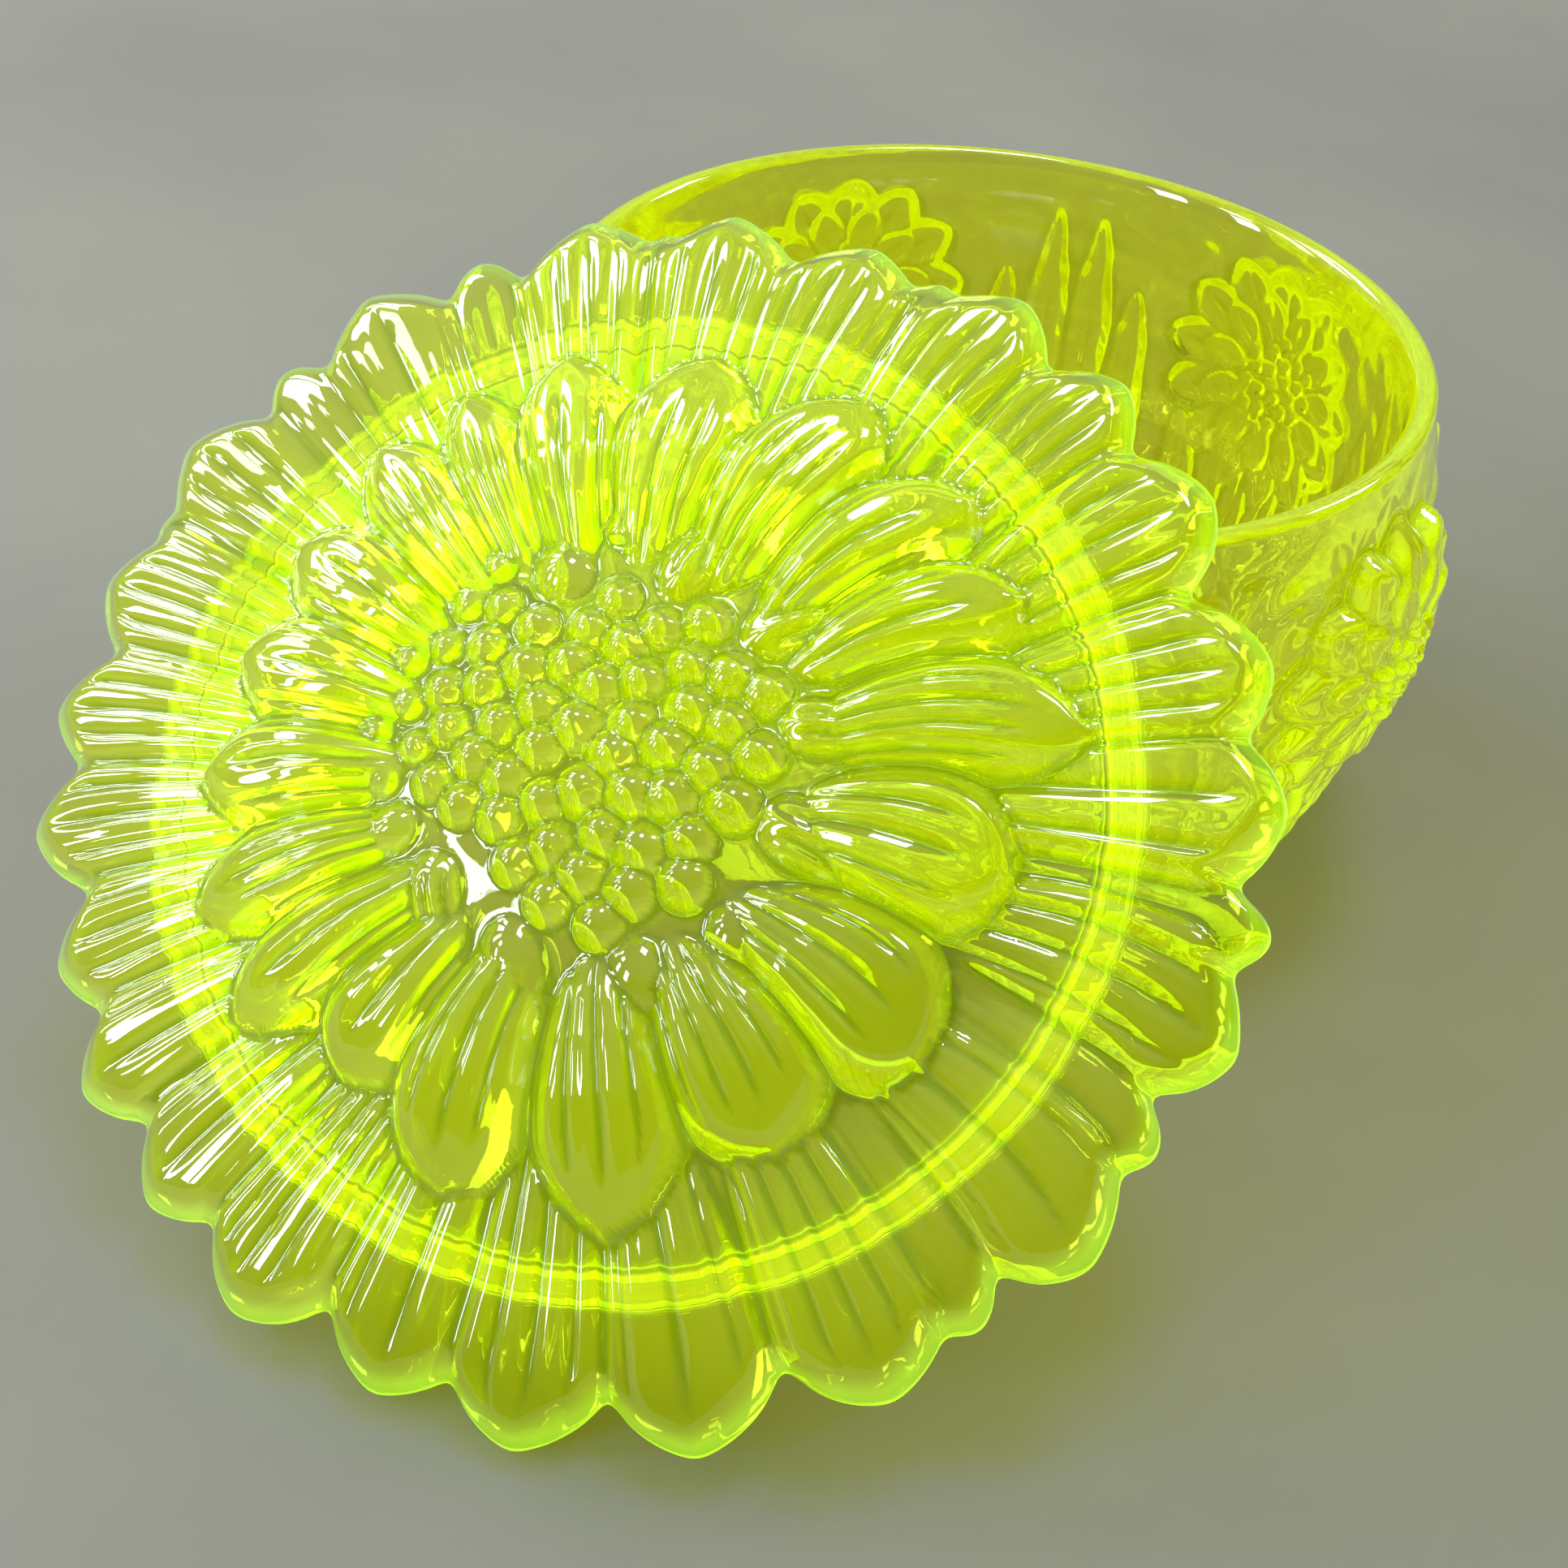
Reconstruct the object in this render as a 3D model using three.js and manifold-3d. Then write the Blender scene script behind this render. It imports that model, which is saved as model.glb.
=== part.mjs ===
// A covered dish in pressed uranium glass: a bowl with flowers in relief round its wall, and a lid in the
// shape of one large flower. The lid is off and leans face up on the front of the bowl's rim.
// Millimetres, +Z up. The origin is the middle of the bowl's flat foot, on the surface that it stands on.

import * as THREE from "three";
import { mergeVertices } from "three/addons/utils/BufferGeometryUtils.js";
import Module from "manifold-3d";

// Driving dimensions of the bowl.
const BOWL_HEIGHT = 78;
const RIM_RADIUS = 69.3;
const RIM_THICKNESS = 4.5;
const FOOT_RADIUS = 58;
const FLOOR_THICKNESS = 7;
const HEAD_COUNT = 5;
const HEAD_FIRST_DEG = -35;
const HEAD_HEIGHT = 47;
const HEAD_PETALS = 9;

// Driving dimensions of the lid, in its own frame: +Z is its face, and z = 0 is half-way up its thin edge.
const LID_RADIUS = 82.5;
const LID_CROWN = 21;
const LID_HOLLOW = 13;
const LID_EDGE_HALF = 2.2;
const FLANGE_OUTER = RIM_RADIUS - RIM_THICKNESS - 1;
const FLANGE_DEPTH = 4.3;
const OUTER_PETAL_REACH = 30;
const INNER_PETAL_ROOT = 27;

// Which way each petal of the lid points, in degrees round its face. The back row peeps out between the
// front row's petals.
const FRONT_ROW_TURNS = [
  13.5, 26.5, 43, 56, 68.5, 84, 98.5, 113, 136.5, 159, 174.6, 188, 200, 213.5, 225.5, 237.8, 250.5, 265.2,
  278.5, 294.5, 311.5, 331, 352,
];
const BACK_ROW_TURNS = [2.2, 76, 105, 125, 147.5, 167, 320.5, 341.5];
const INNER_ROW_TURNS = [
  0, 19.5, 38.5, 53, 72, 94.5, 115, 130, 143.5, 161, 179.5, 197.5, 214.5, 230, 246, 266, 287.5, 311.5, 333,
];
const SEED_PITCH = 6.4;
const SEED_RINGS = 3;

// Where the lid leans: the middle of its edge plane, how far it tips forward, and its turn about the
// vertical.
const LID_PLACE = new THREE.Vector3(-46.2, -95.2, 53.85);
const LID_TIP_DEG = 39.6;
const LID_TURN_DEG = -17;

const ROUND_STEPS = 40;
const RADIANS = Math.PI / 180;

const wasm = await Module();
wasm.setup();

// A closed geometry as a solid that can be joined or cut.
function solidOf(geometry) {
  const bare = geometry.clone();
  bare.deleteAttribute("normal");
  bare.deleteAttribute("uv");
  const merged = mergeVertices(bare, 1e-3);
  const vertProperties = new Float32Array(merged.attributes.position.array);
  const triVerts = new Uint32Array(merged.index.array);
  return new wasm.Manifold(new wasm.Mesh({ numProp: 3, vertProperties, triVerts }));
}

// A solid's surface as a geometry for a mesh.
function geometryOf(solid) {
  const surface = solid.getMesh();
  const geometry = new THREE.BufferGeometry();
  geometry.setAttribute("position", new THREE.BufferAttribute(surface.vertProperties, 3));
  geometry.setIndex(new THREE.BufferAttribute(surface.triVerts, 1));
  geometry.computeVertexNormals();
  return geometry;
}

// A half section, as [radius, height] points that go up the outside, turned round the Z axis.
function turned(points) {
  const section = points.map(([radius, height]) => new THREE.Vector2(radius, height));
  return new THREE.LatheGeometry(section, ROUND_STEPS).rotateX(Math.PI / 2);
}

// An egg-shaped swelling with its length along X, its width along Y and its thickness along Z.
function swelling(length, width, thickness) {
  return new THREE.SphereGeometry(0.5, 6, 4).rotateZ(Math.PI / 2).scale(length, width, thickness);
}

// A pointed petal lying flat: its root is at the origin and its point is at x = length.
function petal(length, width, thickness) {
  const half = width / 2;
  const outline = new THREE.Shape();
  outline.moveTo(0, -half * 0.55);
  outline.quadraticCurveTo(length * 0.6, -half * 1.35, length * 0.9, -half * 0.6);
  outline.lineTo(length, 0);
  outline.lineTo(length * 0.9, half * 0.6);
  outline.quadraticCurveTo(length * 0.6, half * 1.35, 0, half * 0.55);
  outline.closePath();
  const plate = new THREE.ExtrudeGeometry(outline, {
    depth: thickness,
    curveSegments: 2,
    bevelEnabled: false,
  });
  return plate.translate(0, 0, -thickness / 2);
}

// Puts a petal into the lid: tipped so that its root is higher than its point, and turned to its place.
function placedPetal(shape, rootRadius, height, slopeDeg, turnDeg) {
  return shape
    .rotateY(slopeDeg * RADIANS)
    .translate(rootRadius, 0, height)
    .rotateZ(turnDeg * RADIANS);
}

// The height of the lid's crown, where the seeds sit, at a distance from its axis.
function crownHeight(radius) {
  return LID_CROWN - 0.006 * radius * radius;
}

function lidSolid() {
  const ledge = -LID_EDGE_HALF;
  const flangeFoot = ledge - FLANGE_DEPTH;
  const flangeInner = FLANGE_OUTER - 4;
  const dome = turned([
    [0, ledge],
    [LID_RADIUS - 7.5, ledge],
    [LID_RADIUS - 6.5, 0],
    [LID_RADIUS - 8, 1.6],
    [58, 5],
    [44, 9.2],
    [28, crownHeight(28)],
    [14, crownHeight(14)],
    [0, LID_CROWN],
  ]);
  const hollow = turned([
    [0, ledge - 1],
    [flangeInner, ledge - 1],
    [flangeInner, ledge],
    [46, LID_HOLLOW - 7.4],
    [28, LID_HOLLOW - 2.6],
    [0, LID_HOLLOW],
  ]);
  const flange = turned([
    [flangeInner, ledge + 0.6],
    [flangeInner + 0.6, flangeFoot],
    [FLANGE_OUTER - 0.6, flangeFoot],
    [FLANGE_OUTER, ledge + 0.6],
    [flangeInner, ledge + 0.6],
  ]);
  let lid = solidOf(dome);
  const rootRadius = LID_RADIUS - OUTER_PETAL_REACH;
  for (const turn of FRONT_ROW_TURNS) {
    const shape = petal(OUTER_PETAL_REACH, 17.5, 4.4);
    lid = lid.add(solidOf(placedPetal(shape, rootRadius, 4, 7.6, turn)));
  }
  for (const turn of BACK_ROW_TURNS) {
    const shape = petal(OUTER_PETAL_REACH - 2.5, 14, 3.6);
    lid = lid.add(solidOf(placedPetal(shape, rootRadius, 2.4, 5, turn)));
  }
  for (const turn of INNER_ROW_TURNS) {
    lid = lid.add(solidOf(placedPetal(petal(30, 13, 6), INNER_PETAL_ROOT, 14.5, 15, turn)));
  }
  for (let ring = 0; ring <= SEED_RINGS; ring++) {
    const count = Math.max(1, 6 * ring);
    for (let i = 0; i < count; i++) {
      const angle = (2 * Math.PI * (i + 0.3 * ring)) / count;
      const radius = ring * SEED_PITCH + (ring === SEED_RINGS ? 2 : 0);
      const size = ring === SEED_RINGS ? 8 : 6;
      const seed = swelling(size, size, 6)
        .translate(radius, 0, crownHeight(radius) - 0.2)
        .rotateZ(angle);
      lid = lid.add(solidOf(seed));
    }
  }
  return lid.subtract(solidOf(hollow)).add(solidOf(flange));
}

// Lays a shape, made flat with its face along +Z, on the bowl's wall: its middle goes to a height and an
// angle round the axis, and its X axis points the given way, counted from level.
function onWall(shape, wallRadius, height, angle, pointing) {
  return shape
    .rotateZ(pointing)
    .rotateX(Math.PI / 2)
    .rotateZ(Math.PI / 2)
    .translate(wallRadius, 0, height)
    .rotateZ(angle);
}

function wallRadiusAt(height) {
  return 72.5 - 0.0032 * (height - 56) ** 2;
}

function bowlSolid() {
  const innerRim = RIM_RADIUS - RIM_THICKNESS;
  const block = turned([
    [0, 0],
    [FOOT_RADIUS, 0],
    [FOOT_RADIUS + 3.5, 2.5],
    [wallRadiusAt(18), 18],
    [wallRadiusAt(42), 42],
    [wallRadiusAt(62), 62],
    [RIM_RADIUS, BOWL_HEIGHT - 4],
    [RIM_RADIUS - 0.8, BOWL_HEIGHT],
    [0, BOWL_HEIGHT],
  ]);
  const inside = turned([
    [0, FLOOR_THICKNESS],
    [innerRim - 16, FLOOR_THICKNESS + 1.5],
    [innerRim - 5, 17],
    [innerRim - 0.6, 32],
    [innerRim + 1, 50],
    [innerRim, BOWL_HEIGHT - 3],
    [innerRim + 0.8, BOWL_HEIGHT],
    [innerRim + 0.8, BOWL_HEIGHT + 1],
    [0, BOWL_HEIGHT + 1],
  ]);
  let bowl = solidOf(block);
  for (let head = 0; head < HEAD_COUNT; head++) {
    const angle = (HEAD_FIRST_DEG + (360 * head) / HEAD_COUNT) * RADIANS;
    const heart = onWall(swelling(20, 20, 24), wallRadiusAt(HEAD_HEIGHT) - 2.5, HEAD_HEIGHT, angle, 0);
    bowl = bowl.add(solidOf(heart));
    for (let i = 0; i < HEAD_PETALS; i++) {
      const pointing = (2 * Math.PI * i) / HEAD_PETALS + Math.PI / 2;
      const reach = 18.5;
      const height = HEAD_HEIGHT + reach * Math.sin(pointing);
      const aside = (reach * Math.cos(pointing)) / wallRadiusAt(height);
      const shape = swelling(24, 14, 23);
      const leaf = onWall(shape, wallRadiusAt(height) - 2.5, height, angle + aside, pointing);
      bowl = bowl.add(solidOf(leaf));
    }
    for (const side of [-1, 0, 1]) {
      const between = angle + Math.PI / HEAD_COUNT + side * 0.17;
      const length = side === 0 ? 60 : 46;
      const flute = onWall(swelling(length, 13, 14), 66, length / 2 + 6, between, Math.PI / 2);
      bowl = bowl.add(solidOf(flute));
    }
  }
  return bowl.subtract(solidOf(inside));
}

function glass(colour) {
  return new THREE.MeshStandardMaterial({ color: colour, roughness: 0.06, metalness: 0 });
}

const dish = new THREE.Group();

const bowl = new THREE.Mesh(geometryOf(bowlSolid()), glass(0xb6d414));
bowl.name = "bowl";
dish.add(bowl);

const leaning = new THREE.Group();
leaning.position.copy(LID_PLACE);
leaning.rotation.set(LID_TIP_DEG * RADIANS, 0, LID_TURN_DEG * RADIANS, "ZXY");
const lid = new THREE.Mesh(geometryOf(lidSolid()), glass(0xb3d24c));
lid.name = "lid";
leaning.add(lid);
dish.add(leaning);

export default dish;
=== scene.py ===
"""A covered dish in pressed uranium glass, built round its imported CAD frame.

The lid is one large flower and leans, face up, on the front of the bowl's rim. The bowl has flower heads in
relief round its wall. Each piece is one closed glass mesh. Lengths are millimetres until Rings.mesh() turns
them into the frame's metres. The room and the materials are in metres.
"""

import math

import bpy
import numpy as np
from mathutils import Matrix, Vector


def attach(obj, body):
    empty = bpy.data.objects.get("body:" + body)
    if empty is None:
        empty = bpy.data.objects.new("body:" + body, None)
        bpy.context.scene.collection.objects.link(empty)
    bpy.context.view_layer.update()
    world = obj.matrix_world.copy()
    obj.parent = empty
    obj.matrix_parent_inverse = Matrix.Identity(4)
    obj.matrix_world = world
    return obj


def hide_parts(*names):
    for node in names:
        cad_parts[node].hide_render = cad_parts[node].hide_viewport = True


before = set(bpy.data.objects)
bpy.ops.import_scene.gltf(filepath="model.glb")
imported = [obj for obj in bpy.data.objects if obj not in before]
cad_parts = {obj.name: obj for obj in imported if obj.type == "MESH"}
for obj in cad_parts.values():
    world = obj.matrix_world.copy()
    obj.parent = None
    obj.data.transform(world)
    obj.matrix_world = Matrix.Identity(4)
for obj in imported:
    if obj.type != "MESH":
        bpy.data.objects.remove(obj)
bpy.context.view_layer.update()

MM = 0.001
rng = np.random.default_rng(7)

# Driving dimensions, the same as in the part's CAD source.
RIM_RADIUS = 69.3
RIM_THICKNESS = 4.5
HEAD_COUNT = 5
HEAD_FIRST_DEG = -35.0
HEAD_HEIGHT = 47.0
LID_UNDERSIDE = -2.2
FLANGE_OUTER = RIM_RADIUS - RIM_THICKNESS - 1.0
FLANGE_WIDTH = 4.0
FLANGE_FOOT = LID_UNDERSIDE - 4.3
FOOT_RING_LIGHT = 1.4
LID_PLACE = Vector((-46.2, -95.2, 53.85))
LID_TIP_DEG = 39.6
LID_TURN_DEG = -17.0

# Fineness of the meshes: points round the widest rings, and rings out to the lid's edge.
LID_ROUND = 840
LID_OUTER_RINGS = 68
BOWL_ROUND = 720

GOLDEN_DEG = 137.508
GLASS_IOR = 1.5


# ---------------------------------------------------------------- shapes as height fields


def smooth_max(a, b, radius):
    """The higher of two surfaces, with the crease between them filled to about the given radius."""
    return 0.5 * (a + b + np.sqrt((a - b) ** 2 + radius * radius))


def smooth_min(a, b, radius):
    return -smooth_max(-a, -b, radius)


def ease(x):
    """0 below 0, 1 above 1 and a smooth rise between."""
    x = np.clip(x, 0.0, 1.0)
    return x * x * (3.0 - 2.0 * x)


def turned_by(deg):
    """An angle brought into -180 to 180."""
    return (deg + 180.0) % 360.0 - 180.0


def waviness(x, y, size, height, seed):
    """Slow swells of a hand-cut mould: a sum of a few plane waves of about the given size."""
    draw = np.random.default_rng(seed)
    total = np.zeros_like(x)
    for _ in range(9):
        heading = draw.uniform(0, 2 * math.pi)
        pitch = size * draw.uniform(0.7, 1.5)
        phase = draw.uniform(0, 2 * math.pi)
        total += np.sin(2 * math.pi * (x * math.cos(heading) + y * math.sin(heading)) / pitch + phase)
    return height * total / 3.0


class Petal:
    """One petal as a height over the plane: its outline, rounded edge, lengthwise grooves and tilt."""

    def __init__(self, tip_deg, tip_r, half_width, root_r, swing=0.0, bow=0.0, point=0.6, grooves=4,
                 depth=0.8, lift=0.0, tilt=0.5, drop=3.4, edge=3.8, waist=0.5, bulge=1.0, taper=0.5,
                 fall=2.6, groove_end=0.55):
        self.tip_deg, self.tip_r, self.half_width, self.root_r = tip_deg, tip_r, half_width, root_r
        self.swing, self.bow, self.point, self.grooves = swing, bow, point, grooves
        self.depth, self.lift, self.tilt, self.drop = depth, lift, tilt, drop
        self.edge, self.waist, self.bulge, self.taper = edge, waist, bulge, taper
        self.fall, self.groove_end = fall, groove_end
        self.phase = rng.uniform(-0.5, 0.5)
        self.length = tip_r - root_r

    def outline(self, s):
        """Half the petal's width at the share s of its length."""
        shoulder = self.waist + (1 - self.waist) * np.clip(s, 0.0, 1.0) / 0.8
        end = np.clip((s - self.taper) / (1.0 - self.taper), 0.0, 1.0)
        return self.half_width * shoulder * (1.0 - end ** self.fall) ** self.point

    def place(self, r, deg):
        """Share of the length and distance from the petal's axis, in mm, of points given in polar form."""
        s = (r - self.root_r) / self.length
        t = np.clip(s, 0.0, 1.0)
        axis = self.tip_deg - self.swing * (1.0 - t) + self.bow * 4.0 * t * (1.0 - t)
        return s, np.radians(turned_by(deg - axis)) * r

    def inside(self, r, deg):
        """How far inside the outline a point is, in mm. Outside is negative."""
        s, aside = self.place(r, deg)
        step = 0.01
        width = self.outline(s)
        slope = (self.outline(s + step) - self.outline(s - step)) / (2 * step * self.length)
        slope = np.clip(slope, -3.0, 3.0)
        distance = (width - np.abs(aside)) / np.sqrt(1.0 + slope * slope)
        beyond = np.maximum(s - 1.0, 0.0) * self.length
        before = np.maximum(-s, 0.0) * self.length
        return distance - beyond - before, s, aside, width

    def height(self, r, deg, crest):
        distance, s, aside, width = self.inside(r, deg)
        across = np.clip(aside / np.maximum(width, 0.5), -1.2, 1.2)
        rounding = 1.0 - (1.0 - np.clip(distance / self.edge, 0.0, 1.0)) ** 2.3
        z = crest + self.lift - self.drop * (1.0 - rounding)
        t = np.clip(s, 0.0, 1.0)
        z = z + self.tilt * across + self.bulge * (4.0 * t * (1.0 - t) - 0.5)
        fade = ease((s + 0.05) / 0.2) * (1.0 - ease((s - self.groove_end) / 0.3))
        fade = fade * np.clip(distance / 2.0, 0.0, 1.0)
        wave = np.abs(np.sin(0.5 * math.pi * (self.grooves * across + self.phase)))
        z = z - self.depth * fade * (1.0 - wave) ** 2.0
        fine = np.cos(math.pi * (2.7 * self.grooves * across + 3 * self.phase))
        z = z + 0.05 * fade * fine
        return z + 2.3 * np.minimum(distance, 0.0)


# The lid's petals: the tip's direction in degrees, its distance from the axis, how many degrees the root
# swings back, how far the petal bows, and how pointed the tip is.
OUTER_FRONT = [
    (13.5, 81.6, 1, 0, 0.70), (26.5, 81.6, 3, 1, 0.70), (43, 82.2, 6, 2, 0.70),
    (56, 82.0, 5, 2, 0.78), (68.5, 82.0, 3, 2, 0.78), (84, 79.6, 0, 1, 0.78),
    (98.5, 80.6, 0, 0, 0.90), (113, 80.8, 0, 0, 0.90), (136.5, 81.8, 0, 0, 0.95),
    (159, 82.0, 0, 0, 0.82), (174.6, 81.0, -1, -1, 0.78), (188, 81.4, -1, -1, 0.78),
    (200, 82.0, -1, -1, 0.78), (213.5, 80.0, -1, -1, 0.78), (225.5, 81.4, -2, -1, 0.78),
    (237.8, 80.8, -2, -1, 0.78), (250.5, 81.8, -3, -1, 0.70), (265.2, 80.6, -1, 0, 0.78),
    (278.5, 82.0, 0, 1, 0.78), (294.5, 82.0, 2, 1, 0.78), (311.5, 81.6, 1, 1, 0.70),
    (331, 81.8, 1, 3, 0.70), (352, 82.0, 0, 3, 0.78),
]
# The petals that peep out between them: the tip's direction, its distance and half the petal's width.
OUTER_BACK = [
    (2.2, 81.6, 7.0), (76, 78.5, 6.5), (105, 77.5, 6.5), (125, 79.0, 7.4), (147.5, 79.6, 7.4),
    (167, 78.2, 7.0), (320.5, 79.4, 7.4), (341.5, 79.4, 7.6),
]
INNER = [
    (0, 51.5, 0, 2, 0.50), (19.5, 60.0, -3, 3, 0.62), (38.5, 55.5, -2, 2, 0.50),
    (53, 56.5, -3, 3, 0.50), (72, 57.6, -4, 2, 0.60), (94.5, 56.6, -2, 1, 0.62),
    (115, 57.4, 0, 0, 0.62), (130, 57.2, 0, 0, 0.62), (143.5, 56.2, 0, 0, 0.60),
    (161, 53.4, 0, 0, 0.62), (179.5, 52.4, 0, -1, 0.62), (197.5, 54.8, 0, -1, 0.70),
    (214.5, 57.2, 0, -1, 0.62), (230, 57.2, 0, 0, 0.62), (246, 50.0, 0, 0, 0.46),
    (266, 55.4, 1, -1, 0.52), (287.5, 57.2, 1, 1, 0.78), (311.5, 51.6, 2, 2, 0.50),
    (333, 53.0, 2, 4, 0.48),
]
# Buds and ribbed scales round the edge of the seeds: place in mm, length, width, heading in degrees, ribs.
BUDS = [
    (-14.2, -20.3, 5.6, 4.4, -70, 4), (-2.4, -25.6, 6.6, 4.8, -60, 0), (12.6, -23.0, 6.2, 5.0, -50, 0),
    (22.4, -15.8, 5.6, 4.4, -40, 0), (25.6, -2.0, 7.4, 5.6, -10, 4), (23.6, 10.6, 5.8, 4.8, 15, 4),
    (16.0, 20.6, 6.6, 4.6, 40, 3), (3.0, 25.0, 6.4, 4.2, 75, 3), (-11.6, 20.6, 5.2, 4.6, 120, 0),
    (-22.0, -15.0, 4.6, 3.8, 35, 0),
]
# The seeds that a full spiral would have, before the buds take some of the room.
SEED_COUNT = 96
SEED_DISC = 29.4

# Heights of the lid's face over its edge plane, as (distance from the axis, height) points.
CREST_OUTER = ((40, 8.6), (50, 8.2), (58, 7.3), (66, 6.1), (74, 4.7), (80, 3.3), (84, 2.0))
CREST_INNER = ((22, 15.4), (28, 16.8), (34, 17.2), (40, 16.4), (46, 14.6), (52, 12.4), (58, 10.0), (64, 8.0))
BASE = ((0, 17.0), (20, 15.6), (29, 12.4), (40, 9.4), (50, 6.8), (60, 4.8), (70, 3.2), (78, 1.6), (84, 0.6))


def along(points, r):
    """A smooth curve through (radius, height) points."""
    radii, heights = np.array(points, float).T
    fine = np.linspace(radii[0], radii[-1], 400)
    curve = np.interp(fine, radii, heights)
    kernel = np.hanning(31)
    padded = np.pad(curve, 15, mode="edge")
    return np.interp(r, fine, np.convolve(padded, kernel / kernel.sum(), mode="valid"))


def half_widths(tips, radius, share, most_deg):
    """Half of each petal's width at a radius: it reaches just past half-way to its neighbours."""
    turns = np.array([tip[0] for tip in tips], float)
    after = (np.roll(turns, -1) - turns) % 360.0
    gap = 0.5 * (after + np.roll(after, 1))
    return radius * np.radians(np.minimum(share * gap, most_deg))


def lid_petals():
    front_half = half_widths(OUTER_FRONT, 78.0, 0.53, 8.0)
    inner_half = half_widths(INNER, 47.0, 0.58, 13.5)
    front = [Petal(d, r, w, 40, swing=sw, bow=b, point=p, grooves=rng.integers(3, 6), depth=1.0,
                   lift=rng.uniform(-0.5, 0.5), tilt=rng.uniform(-1.2, 1.2), taper=0.74, fall=2.0,
                   groove_end=0.68)
             for (d, r, sw, b, p), w in zip(OUTER_FRONT, front_half)]
    back = [Petal(d, r, w, 42, grooves=5, lift=-1.7, depth=0.3, tilt=0.2) for d, r, w in OUTER_BACK]
    inner = [Petal(d, r, w, 24, swing=sw, bow=b, point=p, grooves=rng.integers(3, 6), depth=0.9, bulge=1.8,
                   lift=rng.uniform(-0.6, 0.6), tilt=rng.uniform(-1.1, 1.1), drop=5.0, edge=5.0, waist=0.45,
                   taper=0.4)
             for (d, r, sw, b, p), w in zip(INNER, inner_half)]
    return front, back, inner


def seeds():
    """Place and size of each seed: a sunflower's spiral that leaves the buds room."""
    golden = math.radians(GOLDEN_DEG)
    found = []
    for i in range(SEED_COUNT):
        r = SEED_DISC * math.sqrt((i + 0.6) / SEED_COUNT)
        x, y = r * math.cos(golden * i), r * math.sin(golden * i)
        x, y = x + rng.uniform(-0.35, 0.35), y + rng.uniform(-0.35, 0.35)
        size = 3.0 + 0.018 * x + rng.uniform(-0.15, 0.25)
        if all(math.hypot(x - bx, y - by) > 0.62 * (bl + bw) for bx, by, bl, bw, _, _ in BUDS):
            found.append((x, y, size))
    return found


seeds_of_lid = seeds()


def lid_outline(petals, degrees):
    """How far out the scalloped edge is in each direction."""
    radii = np.arange(70.0, 84.0, 0.04)
    r, deg = np.meshgrid(radii, degrees, indexing="ij")
    reach = np.full(degrees.shape, 74.0)
    for one in petals:
        s, aside = one.place(r, deg)
        within = np.abs(aside) < one.outline(s)
        furthest = np.where(within, r, 0.0).max(axis=0)
        reach = np.maximum(reach, furthest)
    kernel = np.hanning(9)
    padded = np.pad(reach, 4, mode="wrap")
    return np.convolve(padded, kernel / kernel.sum(), mode="valid")


def lid_face(r, deg, reach, petals):
    """Height of the lid's face at points given in polar form. reach is the edge's distance there."""
    front, back, inner = petals
    x, y = r * np.cos(np.radians(deg)), r * np.sin(np.radians(deg))
    z = along(BASE, r)
    outer_crest, inner_crest = along(CREST_OUTER, r), along(CREST_INNER, r)
    for one in back + front:
        z = smooth_max(z, one.height(r, deg, outer_crest), 0.28)
    for one in inner:
        z = smooth_max(z, one.height(r, deg, inner_crest), 0.28)
    disc = 17.4 - 0.0045 * r * r - 1.4 * np.maximum(r - SEED_DISC, 0.0)
    z = smooth_max(z, disc, 0.4)
    for sx, sy, size in seeds_of_lid:
        away = np.hypot(x - sx, y - sy) / size
        top = 21.0 - 0.0062 * (sx * sx + sy * sy)
        z = smooth_max(z, top - 2.7 * away ** 2.2, 0.22)
    for bx, by, length, width, heading, ribs in BUDS:
        c, s = math.cos(math.radians(heading)), math.sin(math.radians(heading))
        u, v = ((x - bx) * c + (y - by) * s) / length, ((y - by) * c - (x - bx) * s) / width
        top = 20.6 - 0.0055 * (bx * bx + by * by)
        bud = top - 3.6 * (u * u + v * v) ** 1.15
        if ribs:
            bud = bud + 0.4 * np.cos(math.pi * ribs * v) * ease(u + 0.6)
        z = smooth_max(z, bud, 0.25)
    z = z + waviness(x, y, 16.0, 0.10, 3)
    to_edge = reach - r
    bevel = -0.9 + 1.25 * to_edge
    return smooth_min(z, bevel, 0.5)


# ---------------------------------------------------------------- meshes


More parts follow.
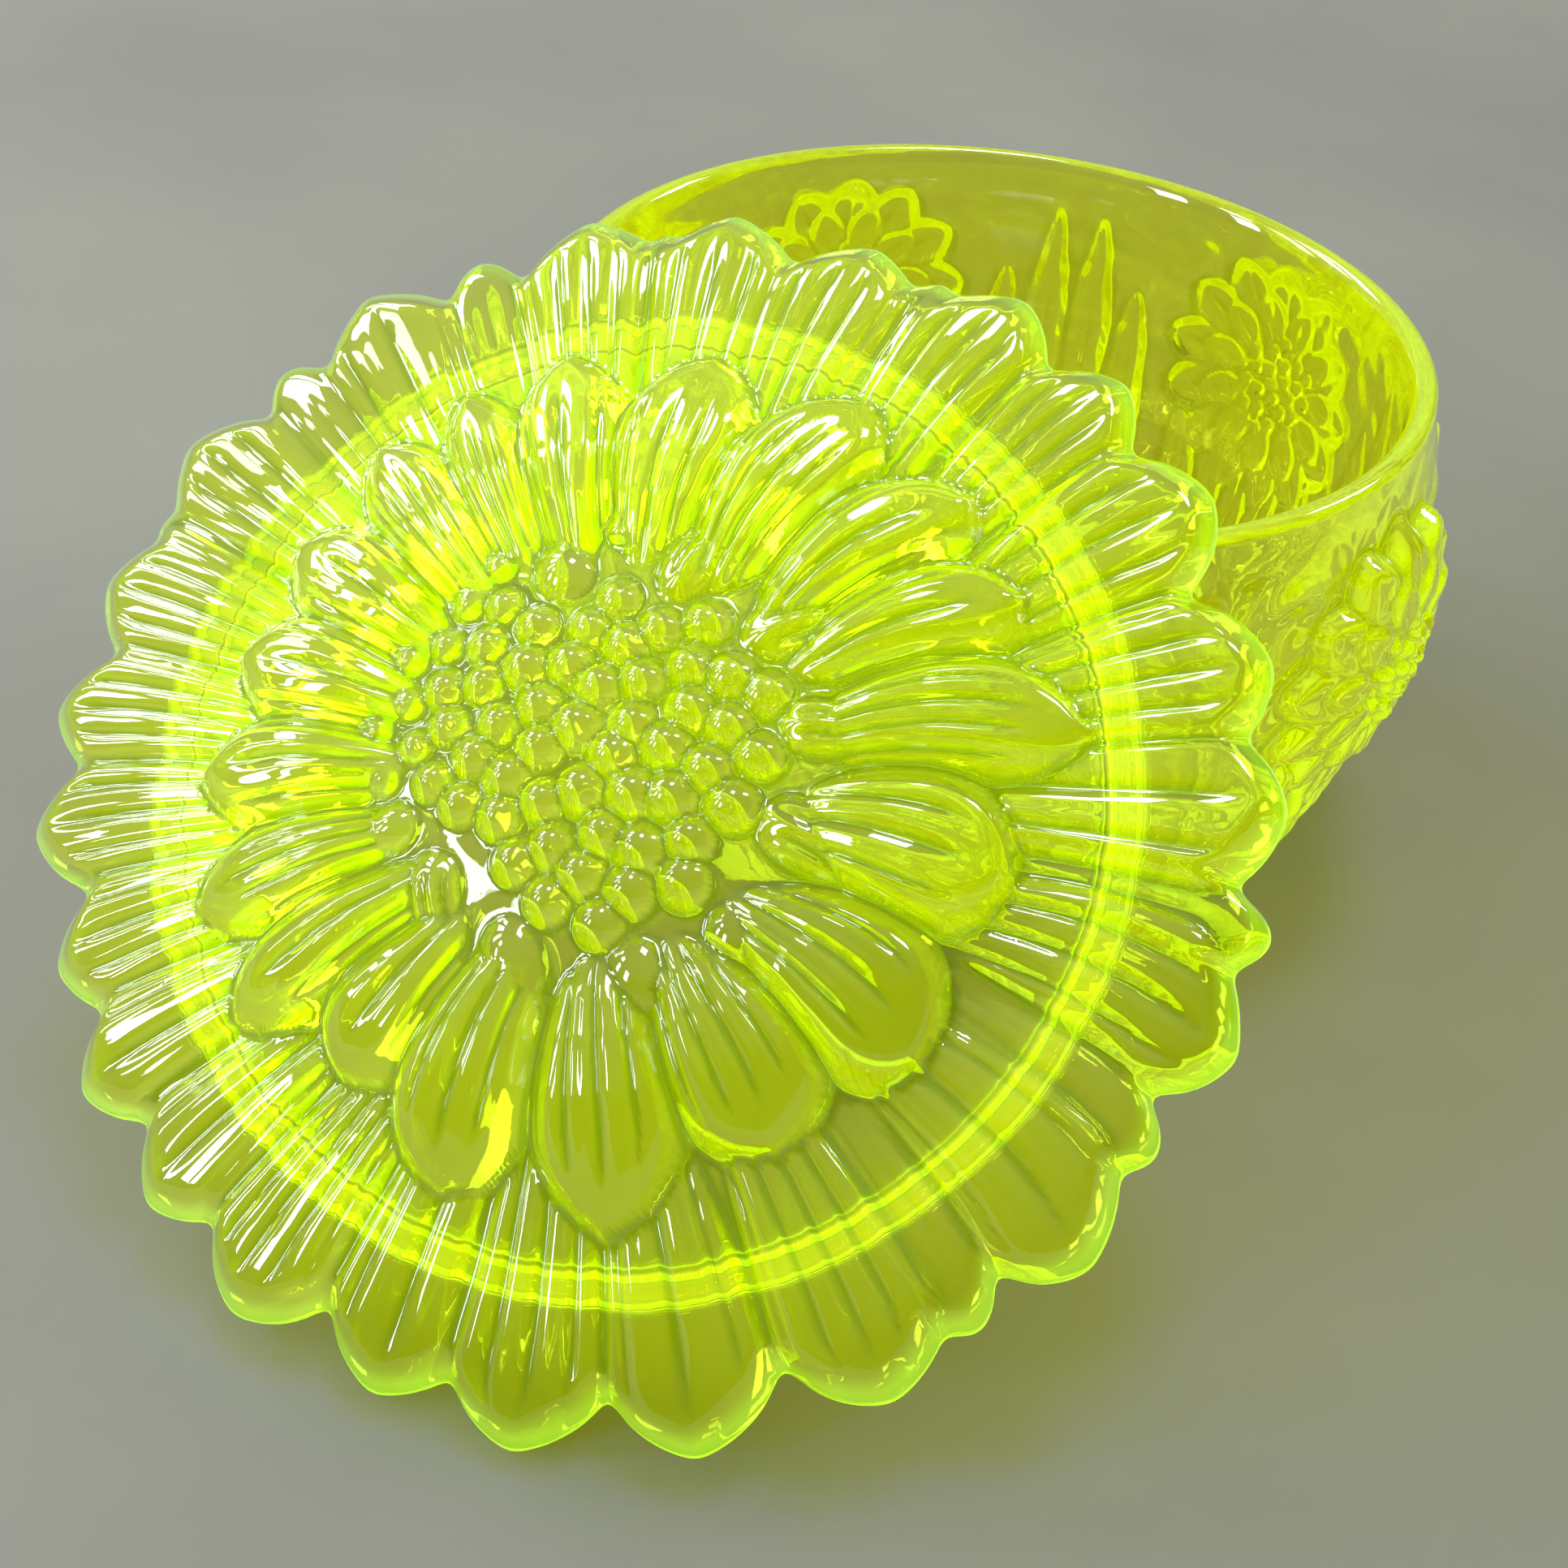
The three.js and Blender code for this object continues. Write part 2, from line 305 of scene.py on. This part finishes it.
class Rings:
    """Builds a surface from closed rings of points. Neighbouring rings have the same number of points, or one
    has twice as many as the other."""

    def __init__(self):
        self.points, self.faces, self.glow, self.creases = [], [], [], []
        self.count, self.last = 0, None

    def add(self, ring, glow=0.0, crease=0.0):
        """Joins a ring, an array of (x, y, z), to the one before. A ring of one point closes the surface.
        glow is how strongly the surface shines there, and crease is how deep in a fold it is: the glass lays
        a painted shade there."""
        n = len(ring)
        self.glow.append(np.broadcast_to(glow, n))
        self.creases.append(np.broadcast_to(crease, n))
        index = np.arange(self.count, self.count + n)
        self.points.append(np.asarray(ring, float))
        self.count += n
        if self.last is not None:
            self.join(self.last, index)
        self.last = index

    def join(self, a, b):
        a2, b2 = np.roll(a, -1), np.roll(b, -1)
        if len(a) == 1:
            self.faces += [(int(a[0]), int(p), int(q)) for p, q in zip(b, b2)]
        elif len(b) == 1:
            self.faces += [(int(p), int(b[0]), int(q)) for p, q in zip(a, a2)]
        elif len(a) == len(b):
            self.faces += np.stack([a, b, b2, a2], 1).tolist()
        elif len(b) == 2 * len(a):
            even, odd, after = b[0::2], b[1::2], np.roll(b[0::2], -1)
            self.faces += np.stack([a, even, odd], 1).tolist()
            self.faces += np.stack([a, odd, a2], 1).tolist()
            self.faces += np.stack([a2, odd, after], 1).tolist()
        elif len(a) == 2 * len(b):
            even, odd, after = a[0::2], a[1::2], np.roll(a[0::2], -1)
            self.faces += np.stack([even, b, odd], 1).tolist()
            self.faces += np.stack([odd, b, b2], 1).tolist()
            self.faces += np.stack([odd, b2, after], 1).tolist()
        else:
            raise ValueError("rings of %d and %d points don't join" % (len(a), len(b)))

    def mesh(self, name, turn, place, flip=False):
        points = np.concatenate(self.points)
        world = points @ np.array(turn.to_3x3()).T + np.array(place)
        mesh = bpy.data.meshes.new(name)
        mesh.from_pydata((world * MM).tolist(), [], self.faces)
        mesh.validate()
        if flip:
            mesh.flip_normals()
        mesh.shade_smooth()
        # crease is the mask for the painted shade in the glass's creases, and edge_light the strength of its
        # emission.
        for title, values in (("edge_light", self.glow), ("crease", self.creases)):
            attribute = mesh.attributes.new(title, "FLOAT", "POINT")
            attribute.data.foreach_set("value", np.concatenate(values))
        obj = bpy.data.objects.new(name, mesh)
        bpy.context.scene.collection.objects.link(obj)
        return obj


def fold_shade_mask(r, z, rise):
    """How deep in a fold each point of a grid of rings is, 0 to 1: where the surface bends inwards. It masks
    the painted shade that the glass lays in its creases. z is the surface's height over the grid, r its
    distance from the axis, and rise the distance between rings."""
    step = 3
    across = step * 2 * math.pi * r / r.shape[1]
    bend = (np.roll(z, step, 1) + np.roll(z, -step, 1) - 2 * z) / across ** 2
    padded = np.pad(z, ((2, 2), (0, 0)), mode="edge")
    bend = bend + 0.6 * (padded[4:] + padded[:-4] - 2 * z) / (2 * rise) ** 2
    return np.clip(bend / 0.45, 0.0, 1.0) ** 1.3


def polar_ring(r, deg, z):
    a = np.radians(deg)
    return np.stack([r * np.cos(a), r * np.sin(a), np.broadcast_to(z, deg.shape)], 1)


def circle(count):
    return np.arange(count) * 360.0 / count


def make_lid():
    petals = lid_petals()
    outer = petals[0] + petals[1]
    n_fine = LID_ROUND
    reach = lid_outline(outer, circle(n_fine))
    rings = Rings()
    zones = ((0.5, 13.0, 26, 210), (13.5, 29.0, 32, 420))
    centre = lid_face(np.zeros(1), np.zeros(1), np.full(1, 82.0), petals)
    rings.add([(0, 0, float(centre[0]))])
    for start, end, steps, count in zones:
        deg = circle(count)
        radii = np.repeat(np.linspace(start, end, steps)[:, None], count, axis=1)
        face = np.stack([lid_face(rr, deg, reach[:: n_fine // count], petals) for rr in radii])
        for rr, z, crease in zip(radii, face, fold_shade_mask(radii, face, (end - start) / steps)):
            rings.add(polar_ring(rr, deg, z), 0.0, crease)
    deg = circle(n_fine)
    inner_r = 29.6
    shares = np.linspace(0.0, 1.0, LID_OUTER_RINGS) ** 0.96
    radii = inner_r + shares[:, None] * (reach - inner_r)
    face = np.stack([lid_face(rr, deg, reach, petals) for rr in radii])
    for rr, z, crease in zip(radii, face, fold_shade_mask(radii, face, 0.76)):
        rings.add(polar_ring(rr, deg, z), ease((rr - reach + 4.0) / 3.0), crease)
    rings.add(polar_ring(reach - 0.02, deg, -1.25), 1.0)
    rings.add(polar_ring(reach - 0.25, deg, LID_UNDERSIDE + 0.45), 1.0)
    rings.add(polar_ring(reach - 0.75, deg, LID_UNDERSIDE + 0.1), 0.7)
    rings.add(polar_ring(reach - 1.3, deg, LID_UNDERSIDE), 0.3)
    half = circle(n_fine // 2)
    rings.add(polar_ring(0.35 * FLANGE_OUTER + 0.65 * reach[::2], half, LID_UNDERSIDE))
    deg = circle(n_fine // 4)
    inner_flange = FLANGE_OUTER - FLANGE_WIDTH
    profile = [(FLANGE_OUTER + 1.0, LID_UNDERSIDE), (FLANGE_OUTER + 0.35, LID_UNDERSIDE - 0.12)]
    profile += [(FLANGE_OUTER, LID_UNDERSIDE - 0.5), (FLANGE_OUTER - 0.15, LID_UNDERSIDE - 2.0)]
    profile += [(FLANGE_OUTER - 0.5, FLANGE_FOOT + 0.6), (FLANGE_OUTER - 1.0, FLANGE_FOOT + 0.1)]
    profile += [(FLANGE_OUTER - 2.0, FLANGE_FOOT), (inner_flange + 1.1, FLANGE_FOOT + 0.1)]
    profile += [(inner_flange + 0.6, FLANGE_FOOT + 0.6), (inner_flange + 0.2, LID_UNDERSIDE - 2.0)]
    profile += [(inner_flange, LID_UNDERSIDE - 0.6), (inner_flange - 0.3, LID_UNDERSIDE - 0.1)]
    flicker = waviness(np.cos(np.radians(deg)), np.sin(np.radians(deg)), 0.16, 0.22, 9)
    for r, z in profile:
        light = (FOOT_RING_LIGHT + flicker) if z < FLANGE_FOOT + 0.3 else 0.0
        rings.add(polar_ring(np.full(deg.shape, r), deg, z), light)
    hollow = ((0, 13.0), (10, 12.5), (28, 10.2), (46, 4.6), (54, 0.9), (59.5, -2.0))
    for r in np.linspace(58.8, 2.0, 40):
        rings.add(polar_ring(np.full(deg.shape, r), deg, along(hollow, np.array(r))))
    rings.add([(0, 0, 12.95)])
    turn = Matrix.Rotation(math.radians(LID_TURN_DEG), 4, "Z")
    turn = turn @ Matrix.Rotation(math.radians(LID_TIP_DEG), 4, "X")
    return rings.mesh("lid_glass", turn, LID_PLACE)


# The bowl's outer wall under its relief, as (height, radius) points.
OUTER_WALL = ((0, 58.0), (1.0, 60.4), (3.5, 62.6), (18, 67.9), (30, 70.3), (42, 71.9), (56, 72.4), (66, 71.6),
              (74, 69.3), (78, 68.6))


def leaf(u, v, length, width, rise, ribs=0):
    """A long pointed swelling: u runs along it from its middle and v across it, both in mm."""
    s = np.clip(u / length + 0.5, 0.0, 1.0)
    half = width * np.sqrt(np.maximum(np.sin(math.pi * s), 0.0)) * (1.15 - 0.4 * s)
    inside = half - np.abs(v) - np.maximum(np.abs(u) - length / 2, 0.0)
    across = np.clip(v / np.maximum(half, 0.4), -1.0, 1.0)
    rounding = 1.0 - (1.0 - np.clip(inside / 3.2, 0.0, 1.0)) ** 2.2
    z = rise * rounding + 1.1 * np.minimum(inside, 0.0)
    if ribs:
        wave = np.abs(np.sin(0.5 * math.pi * ribs * across))
        z = z - 0.5 * np.clip(inside / 2.0, 0, 1) * (1.0 - wave) ** 2
    return z


def bowl_relief(deg, h):
    """How far the bowl's relief stands out of its wall, over direction and height."""
    total = np.zeros_like(deg)
    around = 72.0 * math.pi / 180.0
    for head in range(HEAD_COUNT):
        middle = HEAD_FIRST_DEG + 360.0 * head / HEAD_COUNT
        a = turned_by(deg - middle) * around
        b = h - HEAD_HEIGHT
        r = np.hypot(a, b)
        bearing = np.degrees(np.arctan2(b, a))
        for side in (-1.5, -0.5, 0.5, 1.5):
            gap = turned_by(deg - middle - 36.0 - side * 7.0) * around
            long = 62.0 if abs(side) < 1 else 50.0
            z = leaf(h - 5.0 - long / 2, gap, long, 5.4, 2.3, ribs=3)
            total = smooth_max(total, z, 0.4)
        for k in range(5):
            lean = (k - 2) * 8.5
            low = turned_by(deg - middle) * around - lean * (0.6 + 0.4 * (h - 4.0) / 28.0)
            total = smooth_max(total, leaf(h - 19.0, low, 34.0, 5.4, 2.8, ribs=3), 0.4)
        for row, count, reach, half_width, rise in ((0, 13, 24.0, 6.0, 4.2), (1, 11, 18.0, 5.0, 5.4)):
            for k in range(count):
                tip = 360.0 * (k + 0.5 * row) / count + 90.0
                aside = np.radians(turned_by(bearing - tip)) * r
                s = np.clip((r - 6.0) / (reach - 6.0), 0.0, 1.0)
                end = (1 - np.clip((s - 0.5) / 0.5, 0, 1) ** 2.3) ** 0.6
                width = half_width * (0.45 + 0.55 * ease(s / 0.55)) * end
                inside = width - np.abs(aside) - np.maximum(r - reach, 0.0)
                rounding = 1.0 - (1.0 - np.clip(inside / 3.0, 0.0, 1.0)) ** 2.2
                across = np.clip(aside / np.maximum(width, 0.4), -1, 1)
                groove = 0.4 * (1 - np.abs(np.sin(1.5 * math.pi * across))) ** 2 * np.clip(inside / 2.0, 0, 1)
                crest = rise * (1.0 - 0.35 * ease((r - 12.0) / 18.0))
                z = crest * rounding - groove + 1.1 * np.minimum(inside, 0.0)
                total = smooth_max(total, z, 0.6)
        total = smooth_max(total, 5.6 - 0.035 * r * r - 1.2 * np.maximum(r - 9.0, 0.0), 0.5)
        for i in range(24):
            sr, turn = 9.6 * math.sqrt((i + 0.5) / 24.0), math.radians(GOLDEN_DEG * i)
            away = np.hypot(a - sr * math.cos(turn), b - sr * math.sin(turn)) / 1.75
            total = smooth_max(total, 7.2 - 0.012 * sr * sr - 1.9 * away ** 2.2, 0.2)
    total = total + waviness(turned_by(deg) * around, h, 9.0, 0.25, 5)
    above = 1.0 - ease((h - 66.0) / 6.0)
    foot = ease((h - 2.5) / 5.0)
    return total * above * foot


def make_bowl():
    n_fine = BOWL_ROUND
    deg = circle(n_fine)
    half, quarter = circle(n_fine // 2), circle(n_fine // 4)
    rings = Rings()
    rings.add([(0, 0, 0.9)])
    for r, z in ((20, 0.9), (40, 0.9), (50, 0.9), (52, 0.8), (53.5, 0.35), (55, 0.05), (57, 0.0)):
        rings.add(polar_ring(np.full(quarter.shape, float(r)), quarter, z))
    rings.add(polar_ring(np.full(half.shape, 58.6), half, 0.15))
    rings.add(polar_ring(np.full(deg.shape, 59.8), deg, 0.7))
    heights = np.concatenate([np.linspace(1.5, 72.0, 108), [73.5, 75.0, 76.2, 77.0]])
    relief = np.stack([bowl_relief(deg, np.full(deg.shape, h)) for h in heights])
    wall = along(OUTER_WALL, heights)[:, None] + relief
    for h, radii, crease in zip(heights, wall, fold_shade_mask(wall, relief, 0.66)):
        rings.add(polar_ring(radii, deg, h), 0.0, crease)
    rings.add(polar_ring(np.full(half.shape, RIM_RADIUS - 1.0), half, 77.6))
    inner_rim = RIM_RADIUS - RIM_THICKNESS + 0.8
    for r, z in ((RIM_RADIUS - 1.7, 77.93), (inner_rim + 1.0, 77.95), (inner_rim + 0.35, 77.6)):
        rings.add(polar_ring(np.full(half.shape, r), half, z))
    inside = ((8.6, 48.0), (17, 59.8), (32, 64.2), (50, 65.8), (75, 64.9), (78, 65.4))
    for h in np.linspace(76.6, 20.0, 26):
        r = float(along(inside, np.array(h)))
        rings.add(polar_ring(np.full(half.shape, r), half, h))
    floor = ((59.2, 17.2), (57.5, 14.6), (55.0, 12.2), (52.0, 10.4), (48.5, 9.2), (44.0, 8.4), (38.0, 7.8))
    floor += ((28.0, 7.4), (16.0, 7.2), (6.0, 7.1))
    for r, z in floor:
        rings.add(polar_ring(np.full(half.shape, r), half, z))
    rings.add([(0, 0, 7.1)])
    return rings.mesh("bowl_glass", Matrix.Identity(4), Vector((0, 0, 0)), flip=True)


# ---------------------------------------------------------------- glass


def glass(name, tint, painted_fold_shade, inner, density, glow, glow_strength, edge_strength):
    """Pressed uranium glass, tinted through its depth and giving off much of its own yellow-green light. That
    stands in for fluorescence, and stays on in the dark. tint colours the surface. painted_fold_shade is a
    painted shade, darker and greener, laid in its creases to stand in for a longer way through the glass.
    inner and density are the colour and strength of the tint through the depth."""
    material = bpy.data.materials.new(name)
    material.use_nodes = True
    nodes, links = material.node_tree.nodes, material.node_tree.links
    nodes.clear()
    out = nodes.new("ShaderNodeOutputMaterial")
    body = nodes.new("ShaderNodeBsdfPrincipled")
    # Painted shade: the surface colour darkens from tint to painted_fold_shade where the crease attribute
    # says the surface bends inwards.
    fold_shade_attr = nodes.new("ShaderNodeAttribute")
    fold_shade_attr.attribute_name = "crease"
    shade = nodes.new("ShaderNodeValToRGB")
    shade.color_ramp.elements[0].color = (*tint, 1)
    shade.color_ramp.elements[1].color = (*painted_fold_shade, 1)
    links.new(fold_shade_attr.outputs["Fac"], shade.inputs["Fac"])
    links.new(shade.outputs["Color"], body.inputs["Base Color"])
    body.inputs["Transmission Weight"].default_value = 1.0
    body.inputs["IOR"].default_value = GLASS_IOR
    body.inputs["Coat Weight"].default_value = 0.5
    body.inputs["Coat IOR"].default_value = 1.7
    body.inputs["Coat Roughness"].default_value = 0.0
    material.cycles.emission_sampling = "NONE"
    # Emission from a point attribute stands in for light carried inside the glass: lime at the thin edges,
    # yellow at the flange's foot.
    piped = nodes.new("ShaderNodeAttribute")
    piped.attribute_name = "edge_light"
    hue = nodes.new("ShaderNodeValToRGB")
    hue.color_ramp.elements[0].position = 0.50
    hue.color_ramp.elements[0].color = (0.30, 0.80, 0.01, 1)
    hue.color_ramp.elements[1].position = 0.6
    hue.color_ramp.elements[1].color = (0.50, 0.53, 0.01, 1)
    half = nodes.new("ShaderNodeMath")
    half.operation = "MULTIPLY"
    half.inputs[1].default_value = 0.5
    strength = nodes.new("ShaderNodeMath")
    strength.operation = "MULTIPLY"
    strength.inputs[1].default_value = edge_strength
    links.new(piped.outputs["Fac"], half.inputs[0])
    links.new(half.outputs["Value"], hue.inputs["Fac"])
    links.new(hue.outputs["Color"], body.inputs["Emission Color"])
    links.new(piped.outputs["Fac"], strength.inputs[0])
    links.new(strength.outputs["Value"], body.inputs["Emission Strength"])
    place = nodes.new("ShaderNodeTexCoord")
    smear = nodes.new("ShaderNodeTexNoise")
    smear.inputs["Scale"].default_value = 60.0
    smear.inputs["Detail"].default_value = 3.0
    rough = nodes.new("ShaderNodeMapRange")
    rough.inputs["To Min"].default_value = 0.0
    rough.inputs["To Max"].default_value = 0.012
    swell = nodes.new("ShaderNodeTexNoise")
    swell.inputs["Scale"].default_value = 150.0
    swell.inputs["Detail"].default_value = 4.0
    bump = nodes.new("ShaderNodeBump")
    bump.inputs["Strength"].default_value = 0.2
    bump.inputs["Distance"].default_value = 0.00025
    links.new(place.outputs["Object"], smear.inputs["Vector"])
    links.new(place.outputs["Object"], swell.inputs["Vector"])
    links.new(smear.outputs["Fac"], rough.inputs["Value"])
    links.new(rough.outputs["Result"], body.inputs["Roughness"])
    links.new(swell.outputs["Fac"], bump.inputs["Height"])
    links.new(bump.outputs["Normal"], body.inputs["Normal"])
    through = nodes.new("ShaderNodeBsdfTransparent")
    # A noise dapples the light that reaches the table. It stands in for caustics, which are off.
    dapple = nodes.new("ShaderNodeTexNoise")
    dapple.inputs["Scale"].default_value = 55.0
    dapple.inputs["Detail"].default_value = 2.0
    cast = nodes.new("ShaderNodeValToRGB")
    cast.color_ramp.elements[0].position = 0.42
    cast.color_ramp.elements[0].color = (0.98, 0.92, 0.14, 1)
    cast.color_ramp.elements[1].position = 0.60
    cast.color_ramp.elements[1].color = (1.0, 0.98, 0.42, 1)
    links.new(place.outputs["Object"], dapple.inputs["Vector"])
    links.new(dapple.outputs["Fac"], cast.inputs["Fac"])
    links.new(cast.outputs["Color"], through.inputs["Color"])
    path = nodes.new("ShaderNodeLightPath")
    choose = nodes.new("ShaderNodeMixShader")
    links.new(path.outputs["Is Shadow Ray"], choose.inputs["Fac"])
    links.new(body.outputs["BSDF"], choose.inputs[1])
    links.new(through.outputs["BSDF"], choose.inputs[2])
    links.new(choose.outputs["Shader"], out.inputs["Surface"])
    depth = nodes.new("ShaderNodeVolumeAbsorption")
    depth.inputs["Color"].default_value = (*inner, 1)
    depth.inputs["Density"].default_value = density
    shine = nodes.new("ShaderNodeEmission")
    shine.inputs["Color"].default_value = (*glow, 1)
    shine.inputs["Strength"].default_value = glow_strength
    both = nodes.new("ShaderNodeAddShader")
    links.new(depth.outputs["Volume"], both.inputs[0])
    links.new(shine.outputs["Emission"], both.inputs[1])
    links.new(both.outputs["Shader"], out.inputs["Volume"])
    return material


def plaster():
    """A pale grey table top with faint clouding and a fine tooth."""
    material = bpy.data.materials.new("table_plaster")
    material.use_nodes = True
    nodes, links = material.node_tree.nodes, material.node_tree.links
    body = nodes["Principled BSDF"]
    body.inputs["Roughness"].default_value = 0.8
    place = nodes.new("ShaderNodeTexCoord")
    cloud = nodes.new("ShaderNodeTexNoise")
    cloud.inputs["Scale"].default_value = 5.0
    cloud.inputs["Detail"].default_value = 5.0
    ramp = nodes.new("ShaderNodeValToRGB")
    ramp.color_ramp.elements[0].position = 0.35
    ramp.color_ramp.elements[0].color = (0.25, 0.240, 0.195, 1)
    ramp.color_ramp.elements[1].position = 0.7
    ramp.color_ramp.elements[1].color = (0.31, 0.298, 0.240, 1)
    grain = nodes.new("ShaderNodeTexNoise")
    grain.inputs["Scale"].default_value = 180.0
    bump = nodes.new("ShaderNodeBump")
    bump.inputs["Strength"].default_value = 0.12
    bump.inputs["Distance"].default_value = 0.0006
    links.new(place.outputs["Object"], cloud.inputs["Vector"])
    links.new(place.outputs["Object"], grain.inputs["Vector"])
    links.new(cloud.outputs["Fac"], ramp.inputs["Fac"])
    links.new(ramp.outputs["Color"], body.inputs["Base Color"])
    links.new(grain.outputs["Fac"], bump.inputs["Height"])
    links.new(bump.outputs["Normal"], body.inputs["Normal"])
    return material


# ---------------------------------------------------------------- the room


def make_floor(material):
    bpy.ops.mesh.primitive_plane_add(size=6.0, location=(0, 0, 0))
    floor = bpy.context.object
    floor.name = "table_top"
    floor.data.materials.append(material)


def make_window(name, place, target, width, height, brightness, colour):
    """A bright pane that faces the target. Brightness is its radiance, whatever its size."""
    light = bpy.data.lights.new(name, "AREA")
    light.shape = "RECTANGLE"
    light.size, light.size_y = width, height
    light.energy, light.color = brightness * math.pi * width * height, colour
    lamp = bpy.data.objects.new(name, light)
    lamp.location = place
    lamp.rotation_euler = (Vector(target) - Vector(place)).to_track_quat("-Z", "Y").to_euler()
    bpy.context.scene.collection.objects.link(lamp)


def make_sky():
    """Pale light from behind and above, and a dark room in front."""
    world = bpy.data.worlds.new("room_light")
    bpy.context.scene.world = world
    world.use_nodes = True
    nodes, links = world.node_tree.nodes, world.node_tree.links
    background = nodes["Background"]
    place = nodes.new("ShaderNodeTexCoord")
    towards = nodes.new("ShaderNodeVectorMath")
    towards.operation = "DOT_PRODUCT"
    towards.inputs[1].default_value = Vector((-0.30, 0.40, 0.86)).normalized()
    ramp = nodes.new("ShaderNodeValToRGB")
    ramp.color_ramp.elements[0].position = 0.0
    ramp.color_ramp.elements[0].color = (0.05, 0.06, 0.05, 1)
    ramp.color_ramp.elements[1].position = 0.9
    ramp.color_ramp.elements[1].color = (0.95, 0.98, 1.0, 1)
    links.new(place.outputs["Generated"], towards.inputs[0])
    links.new(towards.outputs["Value"], ramp.inputs["Fac"])
    links.new(ramp.outputs["Color"], background.inputs["Color"])
    background.inputs["Strength"].default_value = 0.42


def make_camera():
    """Looks down on the leaning lid from the front, a little rolled."""
    place = Vector((-0.0271, -0.2939, 0.2163))
    yaw, pitch, roll = math.radians(0.12), math.radians(38.83), math.radians(4.78)
    forward = Vector((math.sin(yaw) * math.cos(pitch), math.cos(yaw) * math.cos(pitch), -math.sin(pitch)))
    level = Vector((math.cos(yaw), -math.sin(yaw), 0.0))
    upward = level.cross(forward)
    across = level * math.cos(roll) + upward * math.sin(roll)
    above = upward * math.cos(roll) - level * math.sin(roll)
    data = bpy.data.cameras.new("camera")
    data.lens, data.sensor_width = 46.32, 36.0
    camera = bpy.data.objects.new("camera", data)
    bpy.context.scene.collection.objects.link(camera)
    axes = Matrix((across, above, -forward)).transposed()
    camera.matrix_world = Matrix.Translation(place) @ axes.to_4x4()
    bpy.context.scene.camera = camera


# The second colour of each glass is a painted shade, laid in its creases.
lid_glass = glass("lid_uranium_glass", (0.97, 0.985, 0.34), (0.46, 0.62, 0.02), (0.88, 0.94, 0.07), 170.0,
                  (0.70, 0.87, 0.01), 27.0, 0.34)
bowl_glass = glass("bowl_uranium_glass", (0.96, 0.97, 0.22), (0.58, 0.64, 0.02), (0.89, 0.93, 0.02), 160.0,
                   (0.78, 0.78, 0.01), 15.5, 0.30)

lid = make_lid()
lid.data.materials.append(lid_glass)
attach(lid, "lid")
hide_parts("lid")

bowl = make_bowl()
bowl.data.materials.append(bowl_glass)
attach(bowl, "bowl")
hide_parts("bowl")

make_floor(plaster())
make_sky()
make_camera()
OBJECT = (-0.03, -0.06, 0.05)
SKY = (0.88, 0.95, 1.0)
PANE_DISTANCE = 2.2
# Each pane: which way it is from the dish, its width and height per unit of its distance, and its radiance.
PANES = {
    "window_pane_left": ((-0.715, 0.397, 0.578), 0.17, 0.36, 9.5),
    "window_pane_right": ((-0.557, 0.584, 0.593), 0.17, 0.36, 9.5),
    "window_above": ((0.10, 0.24, 0.96), 0.26, 0.30, 11.0),
    "window_side_tall": ((-0.86, 0.17, 0.48), 0.12, 0.50, 7.0),
    "window_side_front": ((-0.935, -0.19, 0.30), 0.14, 0.34, 11.0),
    "window_side_high": ((-0.77, -0.10, 0.63), 0.14, 0.18, 12.0),
    "window_front": ((-0.74, -0.55, 0.39), 0.17, 0.40, 11.0),
    "window_far": ((0.71, 0.37, 0.59), 0.16, 0.26, 10.0),
}
for name, (heading, width, height, brightness) in PANES.items():
    place = Vector(OBJECT) + PANE_DISTANCE * Vector(heading).normalized()
    make_window(name, place, OBJECT, PANE_DISTANCE * width, PANE_DISTANCE * height, brightness, SKY)
bpy.context.scene.view_settings.view_transform = "Standard"
bpy.context.scene.view_settings.exposure = 0.20
bpy.context.scene.cycles.caustics_refractive = False
bpy.context.scene.cycles.caustics_reflective = False
bpy.context.scene.cycles.transmission_bounces = 16
bpy.context.scene.cycles.max_bounces = 20
bpy.context.scene.cycles.transparent_max_bounces = 16
